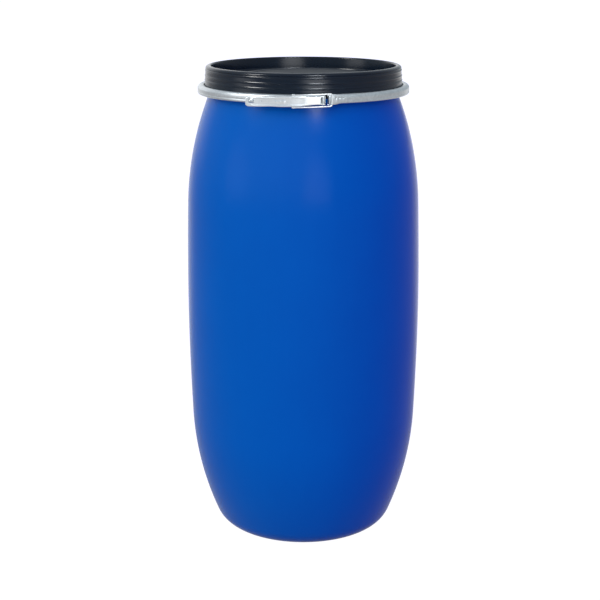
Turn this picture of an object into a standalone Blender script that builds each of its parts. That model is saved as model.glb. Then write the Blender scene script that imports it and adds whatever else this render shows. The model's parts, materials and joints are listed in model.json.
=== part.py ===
"""Open head drum of about 150 litres: a blow-moulded body, a lid, and a steel ring with a lever closure.

Metres, +Z up. The origin is the centre of the base, on the floor. The closure faces -Y.
Places on the ring are given by an angle from the front, positive towards +X, with a radius and a height.
"""

import math

import bmesh
import bpy
from mathutils import Matrix

# Body: a chain of tangent arcs. Each angle is the tilt of the wall's normal from level, in degrees.
BODY_R = 0.248
WALL = 0.004
CORNER_R = 0.054
CORNER_TILT = 23.0
LOWER_R = 0.640
LOWER_TILT = 2.5
BELLY_R = 5.92
UPPER_TILT = 2.0
SHOULDER_R = 0.675
SHOULDER_TILT = 21.5
BASE_RECESS_R = 0.098
BASE_RECESS_SLOPE = 0.012
BASE_RECESS_DEPTH = 0.008

# Rim of the body, and the flanges that the ring clamps together.
FLANGE_R = 0.2160
RIM_BOTTOM = 0.9492
RIM_TOP = 0.9560
MOUTH_R = 0.1935
SEAT_GAP = 0.0004

# Lid
LID_TOP = 1.0044
COLLAR_FOOT_R = 0.2058
COLLAR_TOP_R = 0.2036
RIM_ROLL = 0.0055
CREST_R = 0.1955
INNER_WALL_TOP_R = 0.1922
INNER_WALL_FOOT_R = 0.1896
LID_FLANGE_TOP = 0.9627
LID_WALL = 0.0035
PLATEAU_Z = 0.9855
PLATEAU_R = 0.1280
MOAT_Z = 0.9765
MOAT_IN_R = 0.1350
PLUG_R = 0.1915
PLUG_BOTTOM = 0.9420
CHANNEL_OUT_R = 0.2003
CHANNEL_IN_TOP_R = 0.1954
CHANNEL_TOP = 0.9998

# Seal, in a groove in the underside of the lid's flange.
SEAL_IN_R = 0.2036
SEAL_OUT_R = 0.2102
SEAL_HEIGHT = 0.0040
SEAL_GAP = 0.0003

# Clamp band, a split steel channel
BAND_R = 0.2204
BAND_BOTTOM = 0.9465
BAND_TOP = 0.9655
BAND_LIP_R = 0.2082
BAND_SHEET = 0.0014
BAND_LOW_CORNER = 0.0036
BAND_HIGH_CORNER = 0.0072
BAND_LEFT_END = 11.2
BAND_RIGHT_END = 12.3

# Closure: all its pins lie on one circle around the drum's axis. Its centre line rises a little towards +X.
PIN_CIRCLE_R = 0.2273
CLOSURE_Z = 0.9550
CLOSURE_RISE = 0.00011
FULCRUM_ANGLE = 9.7
LINK_PIN_ANGLE = -4.8
PIN_R = 0.0022
BORE_R = 0.0025
HEAD_R = 0.0036
HEAD_HEIGHT = 0.0012
PART_GAP = 0.0003
PLATE_SHEET = 0.0015

LEVER_OUT_R = 0.2328
LEVER_IN_R = 0.2226
LEVER_SHEET = 0.0016
LEVER_SOFT_EDGE = 0.0012
LEVER_HALF_HEIGHTS = (
    (-28.8, 0.0075),
    (-27.4, 0.0100),
    (-22.0, 0.0100),
    (-16.0, 0.0095),
    (-10.0, 0.0105),
    (-3.0, 0.0105),
    (5.5, 0.0081),
    (8.3, 0.0081),
)
LEVER_TIP_LIFT = 0.0022
LEVER_TIP_TURN = 2.8
LEVER_EAR_R = 0.0048
SLOT_ANGLE = -25.9
SLOT_LENGTH = 0.0110
SLOT_HEIGHT = 0.0090
SLOT_LIFT = 0.0020

LINK_INNER_HALF = 0.0111
LINK_SHEET = 0.0018
LINK_WIDTH = 0.0080
LINK_BAR_ANGLES = (13.45, 14.35)
LINK_END_TAPER = 0.0022

HOOK_LIP_ANGLES = (12.3, 13.0)
HOOK_LIP_OUT_R = 0.2330
HOOK_LIP_HALF = 0.0085
HOOK_TAPER_ANGLES = (15.5, 20.3)
HOOK_END_ANGLE = 23.4
HOOK_WIDE_HALF = 0.0100
HOOK_END_LOW = 0.9485
HOOK_END_HIGH = 0.9625

# Plate under the lever that carries the fulcrum's knuckle.
FULCRUM_PLATE_ANGLES = (-1.0, 11.0)
FULCRUM_PLATE_LOW = 0.9480
FULCRUM_PLATE_HIGH = 0.9620
FULCRUM_NECK_TURN = 0.55

# Eye that stands through the lever's slot
TAB_FOOT_LENGTH = 0.0150
TAB_FOOT_HALF = 0.0030
TAB_BLADE_LENGTH = 0.0052
TAB_BLADE_HALF = 0.0011
TAB_STANDOUT = 0.0048
TAB_EYE_R = 0.0012
TAB_EYE_OUT = 0.0022

# Small edges, and how far a piece reaches into the one it is joined to.
BEVEL = 0.0010
OVERLAP = 0.0005
DRILL_PAST = 0.0020

TURN_STEPS = 64
PIN_STEPS = 20


def clear_scene():
    for old in list(bpy.data.objects):
        bpy.data.objects.remove(old, do_unlink=True)


def material(name, colour, roughness, metallic=0.0):
    made = bpy.data.materials.new(name)
    made.use_nodes = True
    shader = made.node_tree.nodes["Principled BSDF"]
    shader.inputs["Base Color"].default_value = (*colour, 1.0)
    shader.inputs["Roughness"].default_value = roughness
    shader.inputs["Metallic"].default_value = metallic
    return made


def around(angle, radius, z):
    """The point at an angle from the front, in degrees, at this radius and height."""
    a = math.radians(angle)
    return (radius * math.sin(a), -radius * math.cos(a), z)


def arc(centre, radius, start, end, steps):
    """Points of an arc in the (radius, height) plane, from angle start to end in degrees, ends included."""
    turns = [math.radians(start + (end - start) * i / steps) for i in range(steps + 1)]
    return [(centre[0] + radius * math.cos(t), centre[1] + radius * math.sin(t)) for t in turns]


def finish(name, bm, skin, smooth_deg=35.0):
    """Turns a bmesh into a named object. Its faces point out and its round faces are smooth."""
    bmesh.ops.recalc_face_normals(bm, faces=bm.faces)
    mesh = bpy.data.meshes.new(name)
    bm.to_mesh(mesh)
    bm.free()
    mesh.materials.append(skin)
    mesh.shade_smooth()
    mesh.set_sharp_from_angle(angle=math.radians(smooth_deg))
    made = bpy.data.objects.new(name, mesh)
    bpy.context.scene.collection.objects.link(made)
    return made


def turned(name, outline, skin):
    """A solid of revolution about Z. The outline is closed, or starts and ends on the axis."""
    bm = bmesh.new()
    rings = []
    for radius, z in outline:
        if radius < 1e-6:
            rings.append([bm.verts.new((0, 0, z))] * TURN_STEPS)
        else:
            angles = (360 * i / TURN_STEPS for i in range(TURN_STEPS))
            rings.append([bm.verts.new(around(a, radius, z)) for a in angles])
    closed = outline[0][0] > 1e-6
    pairs = zip(rings, rings[1:] + (rings[:1] if closed else []))
    for lower, upper in pairs:
        for i in range(TURN_STEPS):
            j = (i + 1) % TURN_STEPS
            corners = dict.fromkeys((lower[i], lower[j], upper[j], upper[i]))
            bm.faces.new(list(corners))
    return finish(name, bm, skin)


def swept(name, stations, skin):
    """A solid along the ring. Each station is an angle and a closed (radius, height) section."""
    bm = bmesh.new()
    loops = [[bm.verts.new(around(angle, r, z)) for r, z in section] for angle, section in stations]
    count = len(loops[0])
    for near, far in zip(loops, loops[1:]):
        for i in range(count):
            j = (i + 1) % count
            bm.faces.new((near[i], near[j], far[j], far[i]))
    bm.faces.new(loops[0])
    bm.faces.new(loops[-1])
    return finish(name, bm, skin)


def rectangle(r_in, r_out, z_low, z_high):
    return [(r_in, z_low), (r_out, z_low), (r_out, z_high), (r_in, z_high)]


def spread(start, end, step):
    """Angles from start to end, about one step apart."""
    count = max(1, round(abs(end - start) / step))
    return [start + (end - start) * i / count for i in range(count + 1)]


def block(name, angles, r_in, r_out, z_low, z_high, skin, step=2.0):
    """A curved bar with a plain rectangular section."""
    section = rectangle(r_in, r_out, z_low, z_high)
    return swept(name, [(a, section) for a in spread(*angles, step)], skin)


def upright(name, angle, radius_from_axis, rings, skin):
    """A turned piece on a vertical axis on the ring. Each of its rings is a radius and a height."""
    x, y, _ = around(angle, radius_from_axis, 0)
    bm = bmesh.new()
    loops = []
    for radius, z in rings:
        turns = (2 * math.pi * i / PIN_STEPS for i in range(PIN_STEPS))
        loops.append([bm.verts.new((x + radius * math.cos(t), y + radius * math.sin(t), z)) for t in turns])
    for lower, upper in zip(loops, loops[1:]):
        for i in range(PIN_STEPS):
            j = (i + 1) % PIN_STEPS
            bm.faces.new((lower[i], lower[j], upper[j], upper[i]))
    bm.faces.new(loops[0])
    bm.faces.new(loops[-1])
    return finish(name, bm, skin)


def boolean(target, tool, operation):
    """Joins the tool to the target, or cuts it away. The tool is kept as a hidden helper."""
    step = target.modifiers.new(f"{operation.lower()}_{tool.name}", "BOOLEAN")
    step.operation = operation
    step.solver = "EXACT"
    step.object = tool
    tool.hide_render = True
    tool.display_type = "WIRE"


def closure_z(angle):
    """The height of the closure's centre line."""
    return CLOSURE_Z + CLOSURE_RISE * (angle - FULCRUM_ANGLE)


def pivot(name, angle):
    """An empty on the pin circle, on the axis of a joint."""
    empty = bpy.data.objects.new(name, None)
    empty.location = around(angle, PIN_CIRCLE_R, closure_z(angle))
    empty.empty_display_size = 0.02
    bpy.context.scene.collection.objects.link(empty)
    return empty


def hang(piece, axis):
    """Parents a piece to a joint's empty without moving it."""
    piece.parent = axis
    piece.matrix_parent_inverse = Matrix.Translation(axis.location).inverted()


def bore(target, angle, low, high, skin):
    """Drills a pin hole on the closure's pin circle."""
    name = f"{target.name}_drill_{round(angle)}"
    drill = upright(name, angle, PIN_CIRCLE_R, [(BORE_R, low), (BORE_R, high)], skin)
    boolean(target, drill, "DIFFERENCE")


def body_wall(inset, steps):
    """The body's side from the flat of the base up to the neck, moved inwards by the inset.

    The steps are the number of straight runs in the corner, lower, belly and shoulder arcs.
    """
    tilts = [math.radians(t) for t in (CORNER_TILT, LOWER_TILT, UPPER_TILT, SHOULDER_TILT)]
    corner, lower, upper, shoulder = tilts
    belly_z = (
        BELLY_R * math.sin(lower)
        + LOWER_R * (math.sin(corner) - math.sin(lower))
        + CORNER_R * (1 - math.sin(corner))
    )
    belly = (BODY_R - BELLY_R, belly_z)
    step_in = BELLY_R - LOWER_R
    low = (belly[0] + step_in * math.cos(lower), belly[1] - step_in * math.sin(lower))
    step_in = LOWER_R - CORNER_R
    foot = (low[0] + step_in * math.cos(corner), low[1] - step_in * math.sin(corner))
    step_in = BELLY_R - SHOULDER_R
    high = (belly[0] + step_in * math.cos(upper), belly[1] + step_in * math.sin(upper))
    return (
        arc(foot, CORNER_R - inset, -90, -CORNER_TILT, steps[0])
        + arc(low, LOWER_R - inset, -CORNER_TILT, -LOWER_TILT, steps[1])[1:]
        + arc(belly, BELLY_R - inset, -LOWER_TILT, UPPER_TILT, steps[2])[1:]
        + arc(high, SHOULDER_R - inset, UPPER_TILT, SHOULDER_TILT, steps[3])[1:]
    )


def drum_body(skin):
    outer = body_wall(0, (5, 6, 3, 6))
    inner = body_wall(WALL, (4, 4, 2, 4))
    neck_r, neck_z = outer[-1]
    slope_r = BASE_RECESS_R + BASE_RECESS_SLOPE
    base = [(0, BASE_RECESS_DEPTH), (BASE_RECESS_R, BASE_RECESS_DEPTH), (slope_r, 0)]
    rim = [
        (neck_r, (neck_z + RIM_BOTTOM) / 2),
        (neck_r + 0.002, RIM_BOTTOM - 0.0008),
        (neck_r + 0.005, RIM_BOTTOM),
        (FLANGE_R - BEVEL, RIM_BOTTOM),
        (FLANGE_R, RIM_BOTTOM + BEVEL),
        (FLANGE_R, RIM_TOP - BEVEL),
        (FLANGE_R - BEVEL, RIM_TOP),
        (MOUTH_R + BEVEL, RIM_TOP),
        (MOUTH_R, RIM_TOP - BEVEL),
        (MOUTH_R, RIM_BOTTOM),
    ]
    floor = [
        (slope_r - BEVEL, WALL),
        (BASE_RECESS_R - BEVEL, BASE_RECESS_DEPTH + WALL),
        (0, BASE_RECESS_DEPTH + WALL),
    ]
    return turned("drum_body", base + outer + rim + inner[::-1] + floor, skin)


def lid(skin):
    """A raised panel in a moat, inside a hollow collar whose inner wall carries on down as the plug."""
    groove_top = RIM_TOP + SEAL_GAP + SEAL_HEIGHT + SEAL_GAP
    flange_bottom = RIM_TOP + SEAT_GAP
    top = [
        (0, PLATEAU_Z),
        (PLATEAU_R, PLATEAU_Z),
        (PLATEAU_R + 0.003, PLATEAU_Z - 0.002),
        (MOAT_IN_R, MOAT_Z + BEVEL),
        (MOAT_IN_R + 0.002, MOAT_Z),
    ]
    fillet_r = 0.008
    fillet = arc((INNER_WALL_FOOT_R - fillet_r, MOAT_Z + fillet_r), fillet_r, -90, -5, 4)
    edge_r = CREST_R - INNER_WALL_TOP_R
    roll = (COLLAR_TOP_R - RIM_ROLL, LID_TOP - RIM_ROLL)
    collar = (
        arc((CREST_R, LID_TOP - edge_r), edge_r, 180, 90, 3)
        + arc(roll, RIM_ROLL, 90, 0, 4)
        + [(COLLAR_FOOT_R, LID_FLANGE_TOP + 0.002)]
    )
    flange = [
        (COLLAR_FOOT_R + 0.0015, LID_FLANGE_TOP),
        (FLANGE_R - BEVEL, LID_FLANGE_TOP),
        (FLANGE_R, LID_FLANGE_TOP - BEVEL),
        (FLANGE_R, flange_bottom),
        (SEAL_OUT_R + SEAL_GAP, flange_bottom),
        (SEAL_OUT_R + SEAL_GAP, groove_top),
        (SEAL_IN_R - SEAL_GAP, groove_top),
        (SEAL_IN_R - SEAL_GAP, flange_bottom),
        (CHANNEL_OUT_R, flange_bottom),
        (CHANNEL_OUT_R, CHANNEL_TOP),
        (CHANNEL_IN_TOP_R, CHANNEL_TOP),
        (PLUG_R, flange_bottom),
    ]
    under = [
        (PLUG_R, PLUG_BOTTOM + 0.002),
        (PLUG_R - BEVEL, PLUG_BOTTOM),
        (PLUG_R - LID_WALL, PLUG_BOTTOM),
        (PLUG_R - LID_WALL, MOAT_Z - LID_WALL),
        (MOAT_IN_R - BEVEL, MOAT_Z - LID_WALL),
        (PLATEAU_R, PLATEAU_Z - LID_WALL),
        (0, PLATEAU_Z - LID_WALL),
    ]
    return turned("lid", top + fillet + collar + flange + under, skin)


def lid_seal(skin):
    low = RIM_TOP + SEAL_GAP
    high = low + SEAL_HEIGHT
    outline = [
        (SEAL_IN_R + BEVEL, low),
        (SEAL_OUT_R - BEVEL, low),
        (SEAL_OUT_R, low + BEVEL),
        (SEAL_OUT_R, high),
        (SEAL_IN_R, high),
        (SEAL_IN_R, low + BEVEL),
    ]
    return turned("lid_seal", outline, skin)


def clamp_band(skin):
    """The split channel: a web that is rounder at its top, with two lips that reach over the flanges."""
    lip_drop = 0.0010
    low = (BAND_R - BAND_LOW_CORNER, BAND_BOTTOM + BAND_LOW_CORNER)
    high = (BAND_R - BAND_HIGH_CORNER, BAND_TOP - BAND_HIGH_CORNER)
    section = (
        [(BAND_LIP_R, BAND_BOTTOM + lip_drop)]
        + arc(low, BAND_LOW_CORNER, -90, 0, 3)
        + arc(high, BAND_HIGH_CORNER, 0, 90, 5)
        + [(BAND_LIP_R, BAND_TOP - lip_drop), (BAND_LIP_R, BAND_TOP - lip_drop - BAND_SHEET)]
        + arc(high, BAND_HIGH_CORNER - BAND_SHEET, 90, 0, 3)
        + arc(low, BAND_LOW_CORNER - BAND_SHEET, 0, -90, 2)
        + [(BAND_LIP_R, BAND_BOTTOM + lip_drop + BAND_SHEET)]
    )
    angles = spread(BAND_RIGHT_END, 360 + BAND_LEFT_END, 360 / TURN_STEPS)
    return swept("clamp_band", [(a, section) for a in angles], skin)


def fulcrum_bracket(skin):
    """The plate spot-welded to the band's left end, with a knuckle for the lever's fulcrum pin."""
    plate_in = BAND_R + PART_GAP
    plate_out = plate_in + PLATE_SHEET
    heights = (FULCRUM_PLATE_LOW, FULCRUM_PLATE_HIGH)
    plate = block("fulcrum_bracket", FULCRUM_PLATE_ANGLES, plate_in, plate_out, *heights, skin)
    half = lever_half_height(FULCRUM_ANGLE) - LEVER_SHEET - PART_GAP
    centre = closure_z(FULCRUM_ANGLE)
    low, high = centre - half, centre + half
    neck = (FULCRUM_ANGLE - FULCRUM_NECK_TURN, FULCRUM_ANGLE + FULCRUM_NECK_TURN)
    neck_out = PIN_CIRCLE_R - OVERLAP * 2
    neck_block = block("fulcrum_neck", neck, plate_in + OVERLAP, neck_out, low, high, skin)
    knuckle = upright("fulcrum_knuckle", FULCRUM_ANGLE, PIN_CIRCLE_R, [(HEAD_R, low), (HEAD_R, high)], skin)
    boolean(plate, neck_block, "UNION")
    boolean(plate, knuckle, "UNION")
    bore(plate, FULCRUM_ANGLE, low - DRILL_PAST, high + DRILL_PAST, skin)
    return plate


def pin(name, angle, reach, skin):
    """A rivet on the pin circle: its shank reaches past the parts it holds, with a domed head at each end."""
    neck = reach + PART_GAP
    half = [
        (PIN_R, neck),
        (HEAD_R, neck),
        (HEAD_R, neck + HEAD_HEIGHT * 0.4),
        (HEAD_R * 0.7, neck + HEAD_HEIGHT),
    ]
    centre = closure_z(angle)
    rings = [(r, centre - z) for r, z in half[::-1]] + [(r, centre + z) for r, z in half]
    return upright(name, angle, PIN_CIRCLE_R, rings, skin)


def lever_half_height(angle):
    """Half the lever's height, read between its given stations."""
    for (a, low), (b, high) in zip(LEVER_HALF_HEIGHTS, LEVER_HALF_HEIGHTS[1:]):
        if angle <= b:
            return low + (high - low) * (angle - a) / (b - a)
    return LEVER_HALF_HEIGHTS[-1][1]


def lever_section(angle):
    """The U of the lever, open towards the drum, with softened outer edges and its free end lifted."""
    half = lever_half_height(angle)
    lift = LEVER_TIP_LIFT * max(0.0, 1 - (angle - LEVER_HALF_HEIGHTS[0][0]) / LEVER_TIP_TURN)
    inner, outer = LEVER_IN_R + lift, LEVER_OUT_R + lift
    low, high = closure_z(angle) - half, closure_z(angle) + half
    return [
        (inner, low),
        (outer - LEVER_SOFT_EDGE, low),
        (outer, low + LEVER_SOFT_EDGE),
        (outer, high - LEVER_SOFT_EDGE),
        (outer - LEVER_SOFT_EDGE, high),
        (inner, high),
        (inner, high - LEVER_SHEET),
        (outer - LEVER_SHEET, high - LEVER_SHEET),
        (outer - LEVER_SHEET, low + LEVER_SHEET),
        (inner, low + LEVER_SHEET),
    ]


def lever_ear(side, skin):
    """A rounded ear that carries a flange of the lever past its web to the fulcrum."""
    flange = closure_z(FULCRUM_ANGLE) + side * (lever_half_height(FULCRUM_ANGLE) - LEVER_SHEET / 2)
    low, high = flange - LEVER_SHEET / 2, flange + LEVER_SHEET / 2
    name = "lever_ear_top" if side > 0 else "lever_ear_bottom"
    ear = upright(name, FULCRUM_ANGLE, PIN_CIRCLE_R, [(LEVER_EAR_R, low), (LEVER_EAR_R, high)], skin)
    web_end = LEVER_HALF_HEIGHTS[-1][0]
    reach = LEVER_EAR_R * 0.88
    inner, outer = PIN_CIRCLE_R - reach, PIN_CIRCLE_R + reach
    bridge = block(f"{name}_bridge", (web_end - 0.4, FULCRUM_ANGLE), inner, outer, low, high, skin)
    boolean(ear, bridge, "UNION")
    return ear


def closing_lever(skin):
    stations = [angle for angle, _ in LEVER_HALF_HEIGHTS]
    angles = stations[:1]
    for a, b in zip(stations, stations[1:]):
        angles += spread(a, b, 2.2)[1:]
    lever = swept("closing_lever", [(a, lever_section(a)) for a in angles], skin)
    for side in (1, -1):
        boolean(lever, lever_ear(side, skin), "UNION")
    slot_turn = math.degrees(SLOT_LENGTH / 2 / LEVER_OUT_R)
    slot_angles = (SLOT_ANGLE - slot_turn, SLOT_ANGLE + slot_turn)
    slot_z = closure_z(SLOT_ANGLE) + SLOT_LIFT
    slot_low, slot_high = slot_z - SLOT_HEIGHT / 2, slot_z + SLOT_HEIGHT / 2
    cut_out = LEVER_OUT_R + LEVER_TIP_LIFT + DRILL_PAST
    cutter = block("lever_slot", slot_angles, LEVER_IN_R, cut_out, slot_low, slot_high, skin)
    boolean(lever, cutter, "DIFFERENCE")
    for angle in (FULCRUM_ANGLE, LINK_PIN_ANGLE):
        reach = lever_half_height(angle) + DRILL_PAST
        bore(lever, angle, closure_z(angle) - reach, closure_z(angle) + reach, skin)
    return lever


def link_section(angle, side, inner, outer):
    """The section of one of the link's arms: side is 1 above the lever and -1 below it."""
    centre = closure_z(angle)
    edges = (centre + side * LINK_INNER_HALF, centre + side * (LINK_INNER_HALF + LINK_SHEET))
    return rectangle(inner, outer, min(edges), max(edges))


def tension_link(skin):
    """A strap bent into a U: two arms beside the lever, and a bar that hooks behind the lip."""
    inner, outer = PIN_CIRCLE_R - LINK_WIDTH / 2, PIN_CIRCLE_R + LINK_WIDTH / 2
    start = LINK_PIN_ANGLE - math.degrees(LINK_WIDTH / 2 / PIN_CIRCLE_R)
    end = LINK_BAR_ANGLES[1]
    reach = LINK_INNER_HALF + LINK_SHEET
    centre = closure_z(sum(LINK_BAR_ANGLES) / 2)
    low, high = centre - reach + 0.0001, centre + reach - 0.0001
    bar = block("tension_link", LINK_BAR_ANGLES, inner, outer, low, high, skin)
    for side in (1, -1):
        stations = [(start, link_section(start, side, inner + LINK_END_TAPER, outer - LINK_END_TAPER))]
        for angle in [start + 0.35] + spread(start + 0.7, end, 2.0):
            stations.append((angle, link_section(angle, side, inner, outer)))
        arm = swept(f"link_arm_{'top' if side > 0 else 'bottom'}", stations, skin)
        pin_z = closure_z(LINK_PIN_ANGLE) + side * LINK_INNER_HALF
        bore(arm, LINK_PIN_ANGLE, pin_z - DRILL_PAST * 2, pin_z + DRILL_PAST * 2, skin)
        boolean(bar, arm, "UNION")
    return bar


def hook_bracket(skin):
    """The plate spot-welded to the band's right end, with a lip bent outwards that holds the link's bar."""
    plate_in = BAND_R + PART_GAP
    plate_out = plate_in + PLATE_SHEET
    taper_start, taper_end = HOOK_TAPER_ANGLES
    centre = closure_z(taper_start)
    wide_section = rectangle(plate_in, plate_out, centre - HOOK_WIDE_HALF, centre + HOOK_WIDE_HALF)
    end_section = rectangle(plate_in, plate_out, HOOK_END_LOW, HOOK_END_HIGH)
    stations = [(a, wide_section) for a in spread(HOOK_LIP_ANGLES[0], taper_start, 1.7)]
    stations += [(a, end_section) for a in spread(taper_end, HOOK_END_ANGLE, 1.6)]
    plate = swept("hook_bracket", stations, skin)
    middle = closure_z(HOOK_LIP_ANGLES[0])
    low, high = middle - HOOK_LIP_HALF, middle + HOOK_LIP_HALF
    lip = block("hook_lip", HOOK_LIP_ANGLES, plate_in + OVERLAP, HOOK_LIP_OUT_R, low, high, skin)
    boolean(plate, lip, "UNION")
    return plate


def seal_tab(skin):
    """The eye that stands through the lever's slot, for a seal or a padlock, with its foot on the band."""
    foot_in = BAND_R + PART_GAP
    foot_out = foot_in + PLATE_SHEET
    angle = SLOT_ANGLE + 0.25
    centre = closure_z(angle) + SLOT_LIFT
    turn = math.degrees(TAB_FOOT_LENGTH / 2 / BAND_R)
    low, high = centre - TAB_FOOT_HALF, centre + TAB_FOOT_HALF
    foot = block("seal_tab", (angle - turn, angle + turn), foot_in, foot_out, low, high, skin)
    turn = math.degrees(TAB_BLADE_LENGTH / 2 / LEVER_OUT_R)
    low, high = centre - TAB_BLADE_HALF, centre + TAB_BLADE_HALF
    blade_in, blade_out = foot_in + OVERLAP, LEVER_OUT_R + TAB_STANDOUT
    blade = block("seal_tab_blade", (angle - turn, angle + turn), blade_in, blade_out, low, high, skin)
    eye_rings = [(TAB_EYE_R, low - DRILL_PAST), (TAB_EYE_R, high + DRILL_PAST)]
    eye = upright("seal_tab_eye", angle, LEVER_OUT_R + TAB_EYE_OUT, eye_rings, skin)
    boolean(foot, blade, "UNION")
    boolean(foot, eye, "DIFFERENCE")
    return foot


def main():
    clear_scene()
    blue = material("blue_polyethylene", (0.0, 0.093, 0.465), 0.40)
    black = material("black_polyethylene", (0.012, 0.015, 0.022), 0.38)
    rubber = material("seal_rubber", (0.05, 0.05, 0.05), 0.8)
    zinc = material("galvanised_steel", (0.62, 0.65, 0.68), 0.34, metallic=1.0)
    bright = material("bright_zinc", (0.82, 0.83, 0.84), 0.28, metallic=1.0)
    plated = material("plated_pin", (0.78, 0.79, 0.80), 0.25, metallic=1.0)
    drum_body(blue)
    lid(black)
    lid_seal(rubber)
    clamp_band(zinc)
    fulcrum_bracket(zinc)
    pin("fulcrum_pin", FULCRUM_ANGLE, lever_half_height(FULCRUM_ANGLE), plated)
    hook_bracket(zinc)
    seal_tab(zinc)
    lever_axis = pivot("lever_axis", FULCRUM_ANGLE)
    link_axis = pivot("link_axis", LINK_PIN_ANGLE)
    hang(closing_lever(bright), lever_axis)
    hang(pin("link_pin", LINK_PIN_ANGLE, LINK_INNER_HALF + LINK_SHEET, plated), link_axis)
    hang(tension_link(bright), link_axis)


main()
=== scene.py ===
"""Open head drum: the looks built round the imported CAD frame.

Metres, +Z up, the closure faces -Y. Angles on the ring are in degrees from the front, positive towards +X.
Every piece is built here at fine detail, in the place that the frame gives for the node it stands for.
"""

import cmath
import json
import math

import bmesh
import bpy
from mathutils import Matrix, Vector


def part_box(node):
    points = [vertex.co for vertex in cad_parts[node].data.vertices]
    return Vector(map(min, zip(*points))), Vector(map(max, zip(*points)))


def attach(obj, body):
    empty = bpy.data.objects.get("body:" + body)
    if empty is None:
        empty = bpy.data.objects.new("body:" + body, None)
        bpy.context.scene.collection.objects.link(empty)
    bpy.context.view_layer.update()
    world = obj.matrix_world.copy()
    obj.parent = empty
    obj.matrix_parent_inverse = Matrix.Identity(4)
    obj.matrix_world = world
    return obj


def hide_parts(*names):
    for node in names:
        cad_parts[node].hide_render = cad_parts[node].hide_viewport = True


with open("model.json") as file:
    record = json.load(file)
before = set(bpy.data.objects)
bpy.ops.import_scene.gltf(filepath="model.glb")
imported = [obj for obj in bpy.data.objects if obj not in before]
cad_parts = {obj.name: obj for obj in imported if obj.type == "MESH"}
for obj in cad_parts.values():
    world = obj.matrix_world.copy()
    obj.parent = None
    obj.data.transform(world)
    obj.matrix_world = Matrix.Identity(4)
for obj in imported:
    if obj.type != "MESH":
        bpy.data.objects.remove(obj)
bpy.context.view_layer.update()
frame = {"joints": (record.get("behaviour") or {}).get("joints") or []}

# ---------------------------------------------------------------------------------------------------------
# Places read from the frame

JOINTS = {joint["name"]: joint for joint in frame["joints"]}
BODY_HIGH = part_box("drum_body")[1]
LID_LOW, LID_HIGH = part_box("lid")
BAND_LOW, BAND_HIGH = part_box("clamp_band")
SEAL_LOW, SEAL_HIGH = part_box("lid_seal")
FULCRUM = Vector(JOINTS["lever_hinge"]["pos_m"])
LINK_PIN = Vector(JOINTS["link_hinge"]["pos_m"])
FULCRUM_ANGLE = math.degrees(math.atan2(FULCRUM.x, -FULCRUM.y))
LINK_PIN_ANGLE = math.degrees(math.atan2(LINK_PIN.x, -LINK_PIN.y))
PIN_CIRCLE_R = math.hypot(FULCRUM.x, FULCRUM.y)
CLOSURE_RISE = (FULCRUM.z - LINK_PIN.z) / (FULCRUM_ANGLE - LINK_PIN_ANGLE)

RIM_TOP = BODY_HIGH.z
LID_TOP = LID_HIGH.z
LID_FLANGE_R = LID_HIGH.x
PLUG_BOTTOM = LID_LOW.z
BAND_R = (BAND_HIGH.x - BAND_LOW.x) / 2
BAND_BOTTOM = BAND_LOW.z
BAND_TOP = BAND_HIGH.z

# ---------------------------------------------------------------------------------------------------------
# Sizes

# Body: its widest radius, then tangent arcs from the base up, as radius and the tilt of the wall's normal
WIDEST_R = 0.248
CORNER_R = 0.054
CORNER_TILT = 23.0
LOWER_R = 0.640
LOWER_TILT = 2.5
BELLY_R = 5.92
UPPER_TILT = 2.0
SHOULDER_R = 0.675
SHOULDER_TILT = 21.5
WALL = 0.004
FLANGE_R = 0.2160
FLANGE_THICK = 0.0068
FLANGE_ROOT_FILLET = 0.0016
FLANGE_EDGE_FILLET = 0.0012
MOUTH_R = 0.1935
MOUTH_FILLET = 0.0018
NECK_STEP = 0.001
RECESS_R = 0.098
RECESS_DEPTH = 0.008
RECESS_SLOPE = 0.012
BASE_FILLET = 0.008
FLOOR_INSET = 0.001
SEAM_HEIGHT = 0.00035
SEAM_WIDTH = 0.28
WAVE_HEIGHT = 0.00022
WAVE_START = 0.02
WAVE_FADE_IN = 0.06
WAVE_END = 0.935
WAVE_FADE_OUT = 0.05

# Lid
COLLAR_FOOT_R = 0.2058
COLLAR_TOP_R = 0.2036
COLLAR_STEP = 0.0003
COLLAR_FILLET_ROOM = 0.003
RIM_ROLL = 0.0055
ROLL_STEPS = 14
CREST_R = 0.1955
INNER_WALL_TOP_R = 0.1922
INNER_WALL_FOOT_R = 0.1896
CHANNEL_OUT_R = 0.2003
CHANNEL_IN_TOP_R = 0.1954
CHANNEL_TOP = LID_TOP - 0.0046
LID_FLANGE_TOP = BAND_TOP - 0.0028
LID_SKIN = 0.0035
UNDER_INSET = 0.001
PLATEAU_R = 0.1280
PLATEAU_Z = LID_TOP - 0.0189
PLATEAU_FILLET = 0.0030
MOAT_Z = LID_TOP - 0.0279
MOAT_IN_R = 0.1350
MOAT_FILLET = 0.0055
MOAT_FILLET_ROOM = 0.008
GATE_R = 0.0050
GATE_FOOT_R = 0.0062
GATE_RISE = 0.0012
GATE_FILLET = 0.0008
PANEL_GROOVE = (0.1050, 0.1065, 0.1105, 0.1120)
PANEL_GROOVE_DEPTH = 0.0012
PANEL_GROOVE_FILLETS = (0.0012, 0.0010)
PANEL_MATTING = 0.42
PLUG_R = 0.1915
PLUG_ROOT_FILLET = 0.0040
PLUG_TIP_FILLET = 0.0012
COLLAR_FILLET = 0.0015
LID_FLANGE_FILLETS = (0.0010, 0.0006)
RIM_GAP = 0.0004
BEAD_DROPS = (0.0096, 0.0204, 0.0302)
BEAD_HEIGHT = 0.0008
BEAD_WIDTH = 0.0050
RIM_GROOVE_DROP = 0.0067
RIM_GROOVE_DEPTH = 0.0008
RIM_GROOVE_WIDTH = 0.0024
LID_RIBS = 12
RIB_HEIGHT = 0.012
RIB_HALF_TURN = 0.5
RIB_PAST_MOAT = 0.004
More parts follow.
